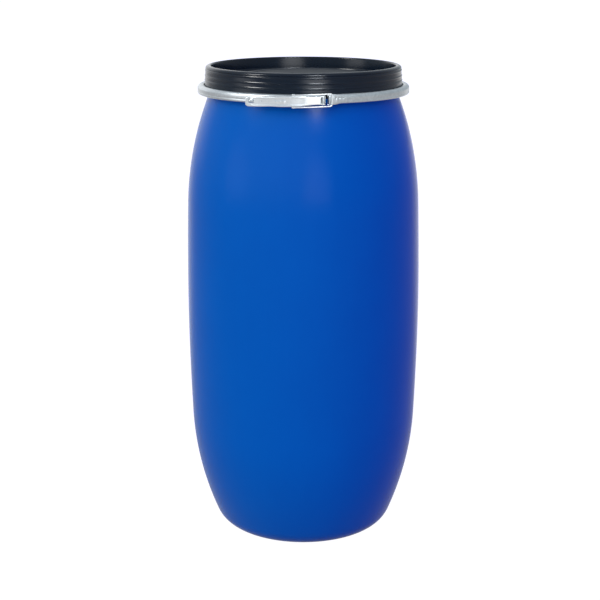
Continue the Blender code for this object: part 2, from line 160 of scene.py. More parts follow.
SEAL_WIDTH = 0.0066
SEAL_FILLET = 0.0015
SEAL_GROOVE_FILLET = 0.0004

# Ring
BAND_SHEET = 0.0014
BAND_LIP_R = 0.2082
BAND_LIP_DROP = 0.0010
BAND_LIP_BEND = 0.75
BAND_LOW_LIP_FLAT = 0.003
BAND_HIGH_LIP_FLAT = 0.002
BAND_LOW_CORNER = 0.0036
BAND_HIGH_CORNER = 0.0072
BAND_ENDS = (12.3, 371.2)
BAND_STEP = 1.5
BAND_WEB_STEP = 0.0005
GROOVE_RISE = 0.0063
GROOVE_DEPTH = 0.0003
GROOVE_WIDTH = 0.0015

# What the closure's pieces share
PLATE_SHEET = 0.0015
PLATE_EDGE = 0.0003
PART_GAP = 0.0003
OVERLAP = 0.0005
DRILL_PAST = 0.002
BORE_R = 0.0025
DENT_RINGS = ((0.0021, 0.0006), (0.0020, 0.0), (0.0016, -0.0008), (0.0004, -0.0010))

# Pins
PIN_R = 0.0022
HEAD_R = 0.0036
HEAD_HEIGHT = 0.0012
HEAD_EDGE = 0.0002
HEAD_TURNS = (0, 15, 30, 45, 60, 72)
HEAD_DIMPLE_R = 0.16
HEAD_DIMPLE_HEIGHT = 0.86

# Lever: each station is an angle and half the height. The pressing is in degrees and shares of that half
LEVER_SHEET = 0.0016
LEVER_OUT_R = 0.2328
LEVER_IN_R = 0.2226
LEVER_FOLD = 0.0018
LEVER_LIP = 0.003
LEVER_EDGE = 0.00022
LEVER_STEP = 0.35
LEVER_WEB_STEP = 0.08
LEVER_NOSE_HALF = 0.0081
LEVER_WEB_END = 8.3
LEVER_STATIONS = (
    (-28.8, 0.0072),
    (-28.3, 0.0086),
    (-27.6, 0.0097),
    (-26.8, 0.0100),
    (-22.0, 0.0100),
    (-16.0, 0.0095),
    (-10.0, 0.0105),
    (-3.0, 0.0105),
    (5.5, LEVER_NOSE_HALF),
    (LEVER_WEB_END, LEVER_NOSE_HALF),
)
TIP_LIFT = 0.0022
TIP_TURN = 2.8
PRESSING_DEPTH = 0.0005
PRESSING_START = -27.6
PRESSING_FADE_IN = 1.0
PRESSING_END = 1.5
PRESSING_FADE_OUT = 3.0
PRESSING_SIDE = 0.74
PRESSING_SIDE_FADE = 0.22
BOSS_ANGLES = (-13.4, -11.4, -9.4)
BOSS_HEIGHT = 0.0005
BOSS_TURN = 0.62
BOSS_SHARE = 0.26
BOSS_REACH = 1.5
SLOT_ANGLE = -25.9
SLOT_LENGTH = 0.0110
SLOT_HEIGHT = 0.0090
SLOT_LIFT = 0.0020
SLOT_FILLET = 0.0012
SLOT_CUT_PAST = 0.005
HOLE_ANGLE = -20.6
HOLE_R = 0.0011
HOLE_LIFT = 0.001
HOLE_REACH = 0.004
LEVER_DRILL_REACH = 0.015
EAR_R = 0.0048
EAR_SHARE = 0.9
EAR_OVERLAP_TURN = 0.4

# Link
LINK_INNER_HALF = 0.0111
LINK_SHEET = 0.0018
LINK_WIDTH = 0.0080
LINK_BAR_ANGLE = 13.9
LINK_BEND = 0.0034
LINK_END_TURNS = (2, 20, 40, 60, 78)
LINK_STEP = 0.003
LINK_EDGE = 0.0004
LINK_DRILL_REACH = 0.003

# Fulcrum bracket
FULCRUM_PLATE_ANGLES = (-1.0, 11.0)
FULCRUM_PLATE_RISE = 0.0015
FULCRUM_PLATE_DROP = 0.0035
FULCRUM_NECK_HALF_TURN = 0.55
FULCRUM_NECK_SHORT = 0.001
FULCRUM_DENTS = (1.0, 4.0)
FULCRUM_DENTS_DROP = 0.010
KNUCKLE_R = 0.0036

# Hook bracket
HOOK_LIP_ANGLES = (12.3, 13.0)
HOOK_LIP_OUT_R = 0.2330
HOOK_LIP_HALF = 0.0085
HOOK_LIP_FILLET = 0.0009
HOOK_TAPER = (15.5, 20.3)
HOOK_END = 23.4
HOOK_WIDE_HALF = 0.0100
HOOK_PLATE_RISE = 0.002
HOOK_PLATE_DROP = 0.003
HOOK_DENTS = (16.6, 18.4, 20.2, 22.0)
HOOK_DENTS_LEVEL = 18
HOOK_DENTS_LIFT = 0.002

# Seal tab
TAB_OFFSET = 0.25
TAB_FOOT_HALF_LENGTH = 0.0075
TAB_FOOT_HALF = 0.003
TAB_BLADE_HALF_LENGTH = 0.0026
TAB_BLADE_HALF = 0.0011
TAB_BLADE_REACH = 0.0048
TAB_EYE_REACH = 0.0022
TAB_EYE_R = 0.0012
TAB_SHOULDER_LENGTH = 0.0080
TAB_SHOULDER_HALF = 0.0036
TAB_SHOULDER_DROP = 0.0004
TAB_BLADE_FILLET = 0.0006
TAB_SHOULDER_FILLET = 0.0008
TAB_EDGE = 0.00025

# Studio: azimuths are in degrees from the front. A span runs from where a light begins to where it is full,
# on an axis of the floor or of the direction looked in, or as the cosine of the angle to its middle
FLOOR_R = 40
FLOOR_DARK = (0.07, 0.08, 0.28)
FLOOR_PALE = (0.09, 0.10, 0.31)
FLOOR_FRONT_GLOW = 0.12
FLOOR_FRONT_SPAN = (-0.8, -2.0)
FLOOR_BACK_GLOW = 0.45
FLOOR_BACK_SPAN = (0.4, 1.6)
FLOOR_BACK_SLANT_SPAN = (1.10, 0.55)
FLOOR_LIFT = 1.0
FLOOR_SHINE = 0.54
FLOOR_MIRRORED = (0.03, 0.03, 0.03)
SOFTBOXES = ((-71, (2.5, 2.55, 2.6)), (14, (4.3, 4.4, 4.5)))
SOFTBOX_RISE = 0.06
SOFTBOX_SPAN = (0.960, 0.992)
AMBIENT_LEFT = (1.00, 1.20, 1.24)
AMBIENT_RIGHT = (0.05, 0.24, 1.16)
AMBIENT_TOP = (0.30, 0.36, 0.62)
AMBIENT_TOP_SPAN = (0.1, 0.9)
SIDE_SPAN = (-0.8, 0.8)
ROOM_LEFT = (0.60, 0.66, 0.70)
ROOM_RIGHT = (0.50, 0.56, 0.60)
ROOM_FRONT = (0.42, 0.50, 0.58)
ROOM_FRONT_SPAN = (-0.35, -0.95)
SWEEP = (1.20, 1.22, 1.25)
SWEEP_MIDDLE = (-0.4226, 0.9063, 0.0)
SWEEP_SPAN = (0.80, 0.93)
TOP_PANEL = (0.60, 0.66, 0.72)
TOP_PANEL_SPAN = (0.80, 0.95)

# Camera
CAMERA_BACK = 2.988
CAMERA_HEIGHT = 1.2667
CAMERA_PITCH = 14.42
CAMERA_YAW = 0.137
FIELD_OF_VIEW = 23.81

# Steps round a full turn
FINE = 256
PIN_FINE = 40


def around(angle, radius, z):
    """The point at an angle from the front, in degrees, at this radius and height."""
    a = math.radians(angle)
    return (radius * math.sin(a), -radius * math.cos(a), z)


def closure_z(angle):
    """The height of the closure's centre line, which rises a little towards +X."""
    return FULCRUM.z + CLOSURE_RISE * (angle - FULCRUM_ANGLE)


def clamp(t):
    return min(1.0, max(0.0, t))


def smooth(t):
    """An even rise from 0 to 1 that starts and ends level."""
    t = clamp(t)
    return t * t * (3 - 2 * t)


def spread(start, end, step):
    """Values from start to end, about one step apart."""
    count = max(1, round(abs(end - start) / step))
    return [start + (end - start) * i / count for i in range(count + 1)]


def arc(centre, radius, start, end, steps):
    """Points of an arc in the (radius, height) plane, from angle start to end in degrees."""
    turns = [math.radians(start + (end - start) * i / steps) for i in range(steps + 1)]
    return [(centre[0] + radius * math.cos(t), centre[1] + radius * math.sin(t)) for t in turns]


def rounded(corners, steps=5, closed=False):
    """An outline through corners of (x, y, fillet radius). Ends that aren't joined keep their points."""
    points = []
    count = len(corners)
    for i, (x, y, fillet) in enumerate(corners):
        inside = closed or 0 < i < count - 1
        if fillet <= 0 or not inside:
            points.append((x, y))
            continue
        here = complex(x, y)
        before = complex(*corners[i - 1][:2]) - here
        after = complex(*corners[(i + 1) % count][:2]) - here
        before, after = before / abs(before), after / abs(after)
        half = abs(cmath.phase(after / before)) / 2
        centre = here + (before + after) / abs(before + after) * fillet / math.sin(half)
        first = here + before * fillet / math.tan(half) - centre
        last = here + after * fillet / math.tan(half) - centre
        sweep = cmath.phase(last / first)
        for k in range(steps + 1):
            p = centre + first * cmath.exp(1j * sweep * k / steps)
            points.append((p.real, p.imag))
    return points


# ---------------------------------------------------------------------------------------------------------
# Mesh making


def finish(name, bm, smooth_deg=32.0):
    """Turns a bmesh into an object with its faces pointing out and its curves smooth."""
    bmesh.ops.recalc_face_normals(bm, faces=bm.faces)
    mesh = bpy.data.meshes.new(name)
    bm.to_mesh(mesh)
    bm.free()
    mesh.shade_smooth()
    mesh.set_sharp_from_angle(angle=math.radians(smooth_deg))
    made = bpy.data.objects.new(name, mesh)
    bpy.context.scene.collection.objects.link(made)
    return made


def turned(name, outline, angles=None, change=None):
    """A solid of revolution. change(angle, r, z) gives a new (r, z), for seams and waves."""
    angles = angles or [360 * i / FINE for i in range(FINE)]
    bm = bmesh.new()
    rings = []
    for radius, z in outline:
        if radius < 1e-6:
            rings.append([bm.verts.new((0, 0, z))] * len(angles))
            continue
        spots = [change(a, radius, z) if change else (radius, z) for a in angles]
        rings.append([bm.verts.new(around(a, r, h)) for a, (r, h) in zip(angles, spots)])
    on_axis = outline[0][0] < 1e-6
    for lower, upper in zip(rings, rings[1:] + ([] if on_axis else rings[:1])):
        for i in range(len(angles)):
            j = (i + 1) % len(angles)
            bm.faces.new(list(dict.fromkeys((lower[i], lower[j], upper[j], upper[i]))))
    return finish(name, bm)


def swept(name, loops, smooth_deg=32.0):
    """A solid through a row of closed loops of world points, with a flat cap at each end."""
    bm = bmesh.new()
    rows = [[bm.verts.new(p) for p in loop] for loop in loops]
    count = len(rows[0])
    for near, far in zip(rows, rows[1:]):
        for i in range(count):
            j = (i + 1) % count
            bm.faces.new((near[i], near[j], far[j], far[i]))
    bm.faces.new(rows[0])
    bm.faces.new(rows[-1])
    return finish(name, bm, smooth_deg)


def along_ring(name, stations):
    """A solid along the ring, from stations of (angle, closed section of (radius, height))."""
    return swept(name, [[around(a, r, z) for r, z in section] for a, section in stations])


def rectangle(r_in, r_out, z_low, z_high):
    return [(r_in, z_low), (r_out, z_low), (r_out, z_high), (r_in, z_high)]


def block(name, angles, r_in, r_out, z_low, z_high, step=1.0):
    """A curved bar along the ring with a plain rectangular section."""
    section = rectangle(r_in, r_out, z_low, z_high)
    return along_ring(name, [(a, section) for a in spread(*angles, step)])


def upright(name, x, y, rings, steps=PIN_FINE):
    """A turned piece on a vertical axis at (x, y). Each of its rings is a radius and a height."""
    turns = [2 * math.pi * i / steps for i in range(steps)]
    loops = [[(x + r * math.cos(t), y + r * math.sin(t), z) for t in turns] for r, z in rings]
    return swept(name, loops)


def radial_stud(name, angle, radius, z, rings, steps=24):
    """A turned piece whose axis points out of the drum. Each ring is a radius and a distance outwards."""
    out = Vector(around(angle, 1, 0))
    side = Vector(around(angle + 90, 1, 0))
    up = Vector((0, 0, 1))
    base = Vector(around(angle, radius, z))
    turns = [2 * math.pi * i / steps for i in range(steps)]
    loops = []
    for r, reach in rings:
        loops.append([base + out * reach + side * r * math.cos(t) + up * r * math.sin(t) for t in turns])
    return swept(name, loops)


def bake_modifiers(piece):
    """Replaces the piece's mesh by its evaluated one, so that no modifier or helper is left."""
    graph = bpy.context.evaluated_depsgraph_get()
    mesh = bpy.data.meshes.new_from_object(piece.evaluated_get(graph))
    piece.modifiers.clear()
    piece.data = mesh
    return piece


def combine(piece, tools, operation):
    """Joins or cuts each tool in turn with an exact Boolean, and removes the tool."""
    for tool in tools:
        step = piece.modifiers.new("cut", "BOOLEAN")
        step.operation = operation
        step.solver = "EXACT"
        step.object = tool
        bake_modifiers(piece)
        bpy.data.objects.remove(tool, do_unlink=True)
    return piece


def soften(piece, width, segments=2, angle=35.0):
    """Rounds the piece's edges."""
    bevel = piece.modifiers.new("soften", "BEVEL")
    bevel.width = width
    bevel.segments = segments
    bevel.limit_method = "ANGLE"
    bevel.angle_limit = math.radians(angle)
    bevel.use_clamp_overlap = True
    bake_modifiers(piece)
    piece.data.shade_smooth()
    piece.data.set_sharp_from_angle(angle=math.radians(50))
    return piece


def place(piece, body, node, skin):
    """Gives a finished piece its body and its material, and hides the CAD node it stands for."""
    piece.data.materials.clear()
    piece.data.materials.append(skin)
    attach(piece, body)
    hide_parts(node)
    return piece


def thicken(path, thickness):
    """A closed section from an open path, with the sheet's thickness added on the path's left side."""
    inner = []
    for i, point in enumerate(path):
        here = complex(*point)
        before = here - complex(*path[max(0, i - 1)])
        after = complex(*path[min(len(path) - 1, i + 1)]) - here
        before = before / abs(before) if abs(before) else after / abs(after)
        after = after / abs(after) if abs(after) else before
        mean = before + after
        mean = mean / abs(mean)
        reach = thickness / max(0.5, (mean * before.conjugate()).real)
        moved = here + mean * 1j * reach
        inner.append((moved.real, moved.imag))
    return list(path) + inner[::-1]


# ---------------------------------------------------------------------------------------------------------
# Materials


def add(tree, kind, inputs=None, **settings):
    """A new node with its settings, and each input given a value or linked to a socket."""
    made = tree.nodes.new(kind)
    for key, value in settings.items():
        setattr(made, key, value)
    for key, value in (inputs or {}).items():
        if isinstance(value, bpy.types.NodeSocket):
            tree.links.new(value, made.inputs[key])
        else:
            made.inputs[key].default_value = value
    return made


def new_material(name, **constants):
    """A material with a Principled shader, whose fixed inputs are set on the shader's own sockets."""
    made = bpy.data.materials.new(name)
    made.use_nodes = True
    shader = made.node_tree.nodes["Principled BSDF"]
    for key, value in constants.items():
        shader.inputs[key.replace("_", " ")].default_value = value
    return made, made.node_tree, shader


def scaled_coords(tree, scale):
    """Object coordinates, in metres, stretched along each axis."""
    coords = add(tree, "ShaderNodeTexCoord")
    mapping = add(tree, "ShaderNodeMapping", {"Vector": coords.outputs["Object"], "Scale": scale})
    return mapping.outputs["Vector"]


def ring_coords(tree, scale):
    """Coordinates along the ring, across it and up, in metres, each stretched."""
    split = add(tree, "ShaderNodeSeparateXYZ", {0: scaled_coords(tree, (1, 1, 1))})
    turn = add(tree, "ShaderNodeMath", {0: split.outputs["X"], 1: split.outputs["Y"]}, operation="ARCTAN2")
    along = add(tree, "ShaderNodeMath", {0: turn.outputs[0], 1: BAND_R * scale[0]}, operation="MULTIPLY")
    flat = add(tree, "ShaderNodeCombineXYZ", {"X": split.outputs["X"], "Y": split.outputs["Y"]})
    reach = add(tree, "ShaderNodeVectorMath", {0: flat.outputs[0]}, operation="LENGTH")
    out = add(tree, "ShaderNodeMath", {0: reach.outputs["Value"], 1: scale[1]}, operation="MULTIPLY")
    up = add(tree, "ShaderNodeMath", {0: split.outputs["Z"], 1: scale[2]}, operation="MULTIPLY")
    joined = add(tree, "ShaderNodeCombineXYZ", {0: along.outputs[0], 1: out.outputs[0], 2: up.outputs[0]})
    return joined.outputs[0]


def noise(tree, vector, scale, detail=2.0, roughness=0.5):
    inputs = {"Vector": vector, "Scale": scale, "Detail": detail, "Roughness": roughness}
    return add(tree, "ShaderNodeTexNoise", inputs).outputs["Fac"]


def remap(tree, value, low, high, to_low, to_high):
    inputs = {"Value": value, "From Min": low, "From Max": high, "To Min": to_low, "To Max": to_high}
    return add(tree, "ShaderNodeMapRange", inputs).outputs["Result"]


def blend_colours(tree, factor, first, second):
    made = add(tree, "ShaderNodeMix", {0: factor}, data_type="RGBA")
    for index, value in ((6, first), (7, second)):
        if isinstance(value, bpy.types.NodeSocket):
            tree.links.new(value, made.inputs[index])
        else:
            made.inputs[index].default_value = (*value, 1.0)
    return made.outputs[2]


def sum_of(tree, first, second, share):
    """first + share * second"""
    inputs = {0: second, 1: share, 2: first}
    return add(tree, "ShaderNodeMath", inputs, operation="MULTIPLY_ADD").outputs[0]


def bump(tree, height, distance, strength=1.0, normal=None):
    inputs = {"Height": height, "Distance": distance, "Strength": strength}
    if normal:
        inputs["Normal"] = normal
    return add(tree, "ShaderNodeBump", inputs).outputs["Normal"]


def blue_plastic():
    """Blow-moulded polyethylene: faint cloudiness, upright flow streaks, light scuffs and orange peel."""
    made, tree, shader = new_material("blue_polyethylene", Specular_IOR_Level=0.06)
    space = scaled_coords(tree, (1, 1, 1))
    cloud = noise(tree, space, 7.0, 3.0)
    streak = noise(tree, scaled_coords(tree, (70, 70, 2.2)), 1.0, 3.0)
    tone = sum_of(tree, remap(tree, cloud, 0.3, 0.7, 0.0, 0.6), streak, 0.4)
    colour = blend_colours(tree, tone, (0.0, 0.113, 0.458), (0.0, 0.125, 0.488))
    rub = noise(tree, scaled_coords(tree, (45, 45, 14)), 1.0, 8.0, 0.7)
    scuff = remap(tree, rub, 0.66, 0.74, 0.0, 0.16)
    colour = blend_colours(tree, scuff, colour, (0.02, 0.13, 0.50))
    tree.links.new(colour, shader.inputs["Base Color"])
    rough = sum_of(tree, remap(tree, cloud, 0.3, 0.7, 0.18, 0.22), scuff, 0.5)
    tree.links.new(rough, shader.inputs["Roughness"])
    peel = bump(tree, noise(tree, space, 260.0, 2.0), 0.00012, 0.55)
    grain = bump(tree, noise(tree, space, 1500.0, 3.0), 0.00005, 0.5, peel)
    tree.links.new(grain, shader.inputs["Normal"])
    return made


def black_plastic():
    """Injection-moulded lid: blue-black and semi-gloss, with a little wear and a matt textured panel."""
    made, tree, shader = new_material("black_polyethylene", Specular_IOR_Level=0.29)
    space = scaled_coords(tree, (1, 1, 1))
    cloud = noise(tree, space, 16.0, 4.0)
    colour = blend_colours(tree, cloud, (0.000, 0.005, 0.013), (0.002, 0.008, 0.017))
    wear = noise(tree, ring_coords(tree, (60, 500, 500)), 1.0, 6.0, 0.7)
    marks = remap(tree, wear, 0.62, 0.75, 0.0, 0.35)
    colour = blend_colours(tree, marks, colour, (0.030, 0.034, 0.044))
    tree.links.new(colour, shader.inputs["Base Color"])
    rough = sum_of(tree, remap(tree, cloud, 0.3, 0.7, 0.17, 0.21), marks, 0.15)
    flat = add(tree, "ShaderNodeVectorMath", {0: scaled_coords(tree, (1, 1, 0))}, operation="LENGTH")
    reach = flat.outputs["Value"]
    panel = remap(tree, reach, INNER_WALL_FOOT_R - 0.004, INNER_WALL_FOOT_R - 0.001, 1.0, 0.0)
    tree.links.new(sum_of(tree, rough, panel, PANEL_MATTING), shader.inputs["Roughness"])
    peel = bump(tree, noise(tree, space, 320.0, 2.0), 0.00005, 0.35)
    texture = add(tree, "ShaderNodeMath", {0: panel, 1: 0.5}, operation="MULTIPLY").outputs[0]
    leather = bump(tree, noise(tree, space, 800.0, 2.0), 0.00015, texture, peel)
    grain = bump(tree, noise(tree, space, 1900.0, 3.0), 0.00004, 0.5, leather)
    tree.links.new(grain, shader.inputs["Normal"])
    return made


def zinc(name, dark, light, rough_low, rough_high, spangle_scale, dullness):
    """Zinc-coated steel: patches of crystal, rolling lines along the strip, and a dull bloom in places."""
    made, tree, shader = new_material(name, Metallic=1.0)
    space = scaled_coords(tree, (1, 1, 1))
    cells = add(tree, "ShaderNodeTexVoronoi", {"Vector": space, "Scale": spangle_scale, "Randomness": 1.0})
    crystal = add(tree, "ShaderNodeRGBToBW", {0: cells.outputs["Color"]}).outputs[0]
    lines = noise(tree, ring_coords(tree, (18, 900, 1300)), 1.0, 4.0, 0.6)
    tone = sum_of(tree, remap(tree, crystal, 0.2, 0.8, 0.0, 0.55), lines, 0.45)
    colour = blend_colours(tree, tone, dark, light)
    bloom = remap(tree, noise(tree, space, 34.0, 5.0, 0.62), 0.52, 0.70, 0.0, dullness)
    colour = blend_colours(tree, bloom, colour, tuple(0.82 * c for c in dark))
    tree.links.new(colour, shader.inputs["Base Color"])
    rough = sum_of(tree, remap(tree, tone, 0.0, 1.0, rough_low, rough_high), bloom, 0.25)
    tree.links.new(rough, shader.inputs["Roughness"])
    rolled = bump(tree, lines, 0.00002, 0.25)
    pits = bump(tree, noise(tree, space, 400.0, 2.0), 0.00002, 0.25, rolled)
    tree.links.new(pits, shader.inputs["Normal"])
    return made


def foam_rubber():
    """The seal: matt closed-cell rubber with tiny pores."""
    made, tree, shader = new_material("seal_rubber", Specular_IOR_Level=0.3)
    space = scaled_coords(tree, (1, 1, 1))
    pores = noise(tree, space, 1100.0, 4.0, 0.6)
    colour = blend_colours(tree, pores, (0.030, 0.030, 0.031), (0.075, 0.074, 0.072))
    tree.links.new(colour, shader.inputs["Base Color"])
    tree.links.new(remap(tree, pores, 0.3, 0.7, 0.75, 0.92), shader.inputs["Roughness"])
    tree.links.new(bump(tree, pores, 0.0002, 0.6), shader.inputs["Normal"])
    return made


def studio_floor():
    """Bluish paper that glows far in front and behind. The camera sees white, and mirrored it is grey."""
    made, tree, shader = new_material("studio_floor", Roughness=0.9, Specular_IOR_Level=0.0)
    space = scaled_coords(tree, (1, 1, 1))
    fibre = noise(tree, space, 30.0, 4.0)
    colour = blend_colours(tree, fibre, FLOOR_DARK, FLOOR_PALE)
    path = add(tree, "ShaderNodeLightPath")
    colour = blend_colours(tree, path.outputs["Is Glossy Ray"], colour, FLOOR_MIRRORED)
    tree.links.new(colour, shader.inputs["Base Color"])
    split = add(tree, "ShaderNodeSeparateXYZ", {0: space})
    front = remap(tree, split.outputs["Y"], *FLOOR_FRONT_SPAN, 0.0, FLOOR_FRONT_GLOW)
    aside = add(tree, "ShaderNodeMath", {0: split.outputs["X"]}, operation="ABSOLUTE").outputs[0]
    slant = add(tree, "ShaderNodeMath", {0: aside, 1: split.outputs["Y"]}, operation="DIVIDE").outputs[0]
    narrow = remap(tree, slant, *FLOOR_BACK_SLANT_SPAN, 0.0, 1.0)
    behind = remap(tree, split.outputs["Y"], *FLOOR_BACK_SPAN, 0.0, FLOOR_BACK_GLOW)
    behind = add(tree, "ShaderNodeMath", {0: behind, 1: narrow}, operation="MULTIPLY").outputs[0]
    glow = add(tree, "ShaderNodeMath", {0: front, 1: behind}, operation="ADD").outputs[0]
    glow = sum_of(tree, glow, path.outputs["Is Glossy Ray"], FLOOR_SHINE)
    inputs = {0: path.outputs["Is Camera Ray"], 2: glow, 3: FLOOR_LIFT}
    lift = add(tree, "ShaderNodeMix", inputs, data_type="FLOAT").outputs[0]
    shader.inputs["Emission Color"].default_value = (1, 1, 1, 1)
    tree.links.new(lift, shader.inputs["Emission Strength"])
    return made


# ---------------------------------------------------------------------------------------------------------
# Body and lid


def body_wall(inset, steps):
    """The body's side from the flat of the base up to the neck, moved inwards by the inset."""
    corner, lower, upper = [math.radians(t) for t in (CORNER_TILT, LOWER_TILT, UPPER_TILT)]
    belly_z = (
        BELLY_R * math.sin(lower)
        + LOWER_R * (math.sin(corner) - math.sin(lower))
        + CORNER_R * (1 - math.sin(corner))
    )
    belly = (WIDEST_R - BELLY_R, belly_z)
    step_in = BELLY_R - LOWER_R
    low = (belly[0] + step_in * math.cos(lower), belly[1] - step_in * math.sin(lower))
    step_in = LOWER_R - CORNER_R
    foot = (low[0] + step_in * math.cos(corner), low[1] - step_in * math.sin(corner))
    step_in = BELLY_R - SHOULDER_R
    high = (belly[0] + step_in * math.cos(upper), belly[1] + step_in * math.sin(upper))
    return (
        arc(foot, CORNER_R - inset, -90, -CORNER_TILT, steps[0])
        + arc(low, LOWER_R - inset, -CORNER_TILT, -LOWER_TILT, steps[1])[1:]
        + arc(belly, BELLY_R - inset, -LOWER_TILT, UPPER_TILT, steps[2])[1:]
        + arc(high, SHOULDER_R - inset, UPPER_TILT, SHOULDER_TILT, steps[3])[1:]
    )


def mould_marks(angle, radius, z):
    """The parting line down each side, and the slow waves that a blown wall has."""
    fade = clamp((z - WAVE_START) / WAVE_FADE_IN) * clamp((WAVE_END - z) / WAVE_FADE_OUT)
    a = math.radians(angle)
    wave = math.sin(3 * a + 9 * z) + 0.7 * math.sin(5 * a - 14 * z + 1.3) + 0.5 * math.sin(2 * a + 23 * z)
    turn = (angle + 90) % 180
    off_seam = min(turn, 180 - turn)
    seam = SEAM_HEIGHT * max(0.0, 1 - off_seam / SEAM_WIDTH)
    return radius + fade * (WAVE_HEIGHT * wave + seam), z


def drum_body():
    """The blown shell: the raised middle and flat ring of its base, its side and its flange."""
    outer = body_wall(0, (12, 36, 14, 36))
    inner = body_wall(WALL, (10, 24, 10, 24))
    neck_r, neck_z = outer[-1]
    flange_bottom = RIM_TOP - FLANGE_THICK
    slope_r = RECESS_R + RECESS_SLOPE
    base = [
        (0, RECESS_DEPTH, 0),
        (RECESS_R, RECESS_DEPTH, BASE_FILLET),
        (slope_r, 0, BASE_FILLET),
        (*outer[0], 0),
    ]
    rim = [
        (neck_r, neck_z, 0),
        (neck_r, flange_bottom, FLANGE_ROOT_FILLET),
        (FLANGE_R, flange_bottom, FLANGE_EDGE_FILLET),
        (FLANGE_R, RIM_TOP, FLANGE_EDGE_FILLET),
        (MOUTH_R, RIM_TOP, MOUTH_FILLET),
        (MOUTH_R, flange_bottom - NECK_STEP, NECK_STEP),
        (*inner[-1], 0),
    ]
    floor = [
        (*inner[0], 0),
        (slope_r - FLOOR_INSET, WALL, BASE_FILLET),
        (RECESS_R - FLOOR_INSET, RECESS_DEPTH + WALL, BASE_FILLET),
        (0, RECESS_DEPTH + WALL, 0),
    ]
    outline = rounded(base)[:-1] + outer + rounded(rim)[1:-1] + inner[::-1] + rounded(floor)[1:]
    angles = [360 * i / FINE for i in range(FINE)]
    for side in (90, 270):
        angles += [side + SEAM_WIDTH * k for k in (-1, -0.5, 0.5, 1)]
    return turned("drum_shell", outline, sorted(angles), mould_marks)


def collar_radius(z):
    """The outside of the lid's collar, with its three low beads and the narrow groove under its rim."""
    share = (z - LID_FLANGE_TOP) / (LID_TOP - RIM_ROLL - LID_FLANGE_TOP)
    radius = COLLAR_FOOT_R + (COLLAR_TOP_R - COLLAR_FOOT_R) * share
    for drop in BEAD_DROPS:
        off = abs(z - (LID_TOP - drop)) / (BEAD_WIDTH / 2)
        if off < 1:
            radius += BEAD_HEIGHT * math.cos(off * math.pi / 2) ** 2
    off = abs(z - (LID_TOP - RIM_GROOVE_DROP)) / (RIM_GROOVE_WIDTH / 2)
    if off < 1:
        radius -= RIM_GROOVE_DEPTH * math.cos(off * math.pi / 2) ** 2
    return radius


def lid_outline():
    """The lid's section: panel, moat, inner wall, rolled rim, collar, flange, channel and plug."""
    groove_z = PLATEAU_Z - PANEL_GROOVE_DEPTH
    edge_in, foot_in, foot_out, edge_out = PANEL_GROOVE
    edge_fillet, foot_fillet = PANEL_GROOVE_FILLETS
    panel = rounded([
        (0, PLATEAU_Z + GATE_RISE, 0),
        (GATE_R, PLATEAU_Z + GATE_RISE, GATE_FILLET),
        (GATE_FOOT_R, PLATEAU_Z, GATE_FILLET),
        (edge_in, PLATEAU_Z, edge_fillet),
        (foot_in, groove_z, foot_fillet),
        (foot_out, groove_z, foot_fillet),
        (edge_out, PLATEAU_Z, edge_fillet),
        (PLATEAU_R, PLATEAU_Z, PLATEAU_FILLET),
        (MOAT_IN_R, MOAT_Z, PLATEAU_FILLET),
        (INNER_WALL_FOOT_R, MOAT_Z, MOAT_FILLET),
        (INNER_WALL_FOOT_R, MOAT_Z + MOAT_FILLET_ROOM, 0),
    ])
    edge_r = CREST_R - INNER_WALL_TOP_R
    inner_edge = arc((CREST_R, LID_TOP - edge_r), edge_r, 180, 90, 8)
    roll_z = LID_TOP - RIM_ROLL
    across = COLLAR_TOP_R - CREST_R
    turns = [math.radians(90 * (1 - i / ROLL_STEPS)) for i in range(ROLL_STEPS + 1)]
    roll = [(CREST_R + across * math.cos(t), roll_z + RIM_ROLL * math.sin(t)) for t in turns]
    heights = spread(roll_z, LID_FLANGE_TOP + COLLAR_FILLET_ROOM, COLLAR_STEP)
    outside = [(collar_radius(z), z) for z in heights]
    flange_bottom = RIM_TOP + RIM_GAP
    top_fillet, bottom_fillet = LID_FLANGE_FILLETS
    groove_out = SEAL_HIGH.x + PART_GAP
    groove_in = SEAL_HIGH.x - SEAL_WIDTH - PART_GAP
    groove_top = SEAL_HIGH.z + PART_GAP
    plug_in = PLUG_R - LID_SKIN
    moat_under = MOAT_Z - LID_SKIN
    plateau_under = PLATEAU_Z - LID_SKIN
    flange = rounded([
        (*outside[-1], 0),
        (COLLAR_FOOT_R, LID_FLANGE_TOP, COLLAR_FILLET),
        (LID_FLANGE_R, LID_FLANGE_TOP, top_fillet),
        (LID_FLANGE_R, flange_bottom, bottom_fillet),
        (groove_out, flange_bottom, SEAL_GROOVE_FILLET),
        (groove_out, groove_top, SEAL_GROOVE_FILLET),
        (groove_in, groove_top, SEAL_GROOVE_FILLET),
        (groove_in, flange_bottom, SEAL_GROOVE_FILLET),
        (CHANNEL_OUT_R, flange_bottom, bottom_fillet),
        (CHANNEL_OUT_R, CHANNEL_TOP, COLLAR_FILLET),
        (CHANNEL_IN_TOP_R, CHANNEL_TOP, COLLAR_FILLET),
        (PLUG_R, flange_bottom, PLUG_ROOT_FILLET),
        (PLUG_R, PLUG_BOTTOM, PLUG_TIP_FILLET),
        (plug_in, PLUG_BOTTOM, PLUG_TIP_FILLET),
        (plug_in, moat_under, PLATEAU_FILLET),
        (MOAT_IN_R - UNDER_INSET, moat_under, PLATEAU_FILLET),
        (PLATEAU_R - UNDER_INSET, plateau_under, PLATEAU_FILLET),
        (0, plateau_under, 0),
    ])[1:]
    return panel + inner_edge + roll[1:-1] + outside + flange


